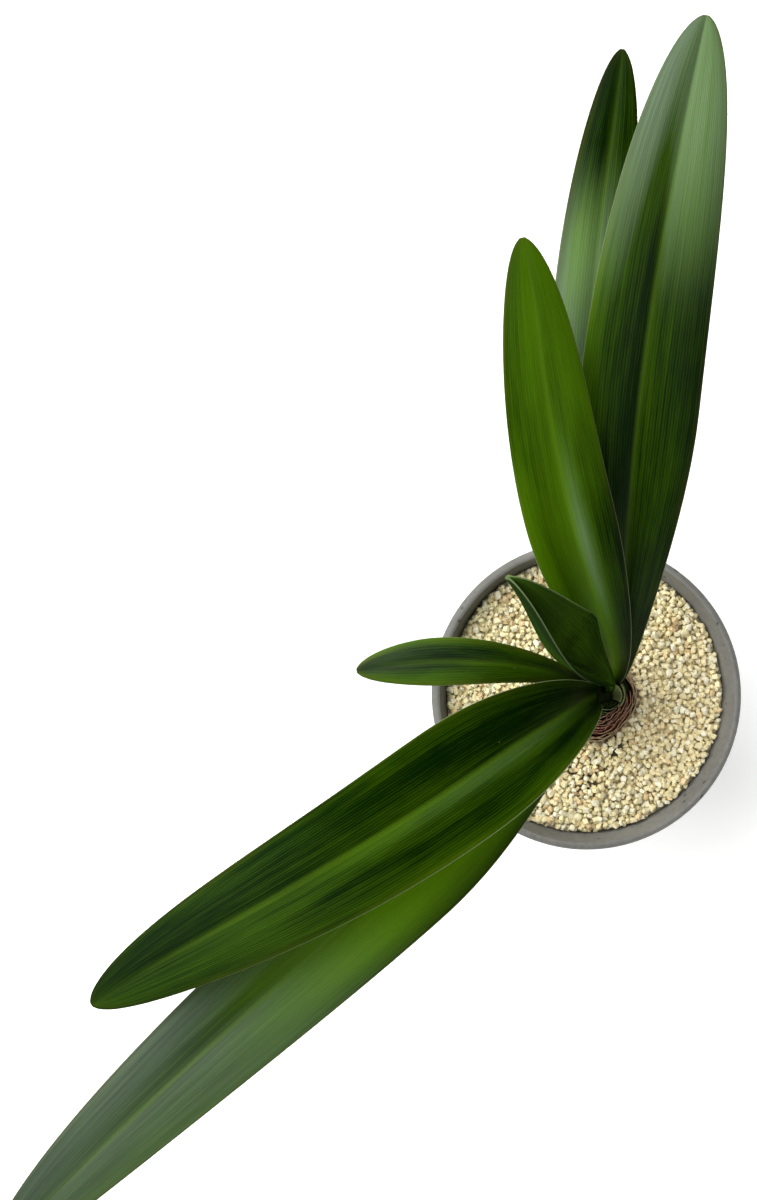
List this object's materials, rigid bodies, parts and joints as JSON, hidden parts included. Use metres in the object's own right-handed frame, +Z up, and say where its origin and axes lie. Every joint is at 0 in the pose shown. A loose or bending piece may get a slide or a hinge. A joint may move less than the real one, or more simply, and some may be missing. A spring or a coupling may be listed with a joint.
{
  "type": "potted amaryllis",
  "caption": "Leafy amaryllis whose strap leaves arch out of a bulb neck in a round grey pot topped with pale gravel; stands on its flat base.",
  "frame": {"origin": "centre of the pot's flat base, on the surface it stands on", "axes": "+Z up along the pot's axis; +Y towards the tall leaf's side, as the top of a picture taken from above; +X to the right in that picture"},
  "size_m": [0.3422, 0.5107, 0.3295],
  "materials": {
    "pot": "matte",
    "soil": "matte",
    "gravel": "matte",
    "bulb": "satin",
    "tunic": "matte",
    "leaf": "satin"
  },
  "bodies": {
    "root": {"pot": "pot", "soil": "soil", "gravel": "gravel", "bulb": "bulb", "tunic": "tunic", "leaf_back": "leaf", "leaf_tall": "leaf", "leaf_middle": "leaf", "leaf_young": "leaf", "leaf_narrow": "leaf", "leaf_broad": "leaf", "leaf_long": "leaf"}
  },
  "joints": []
}
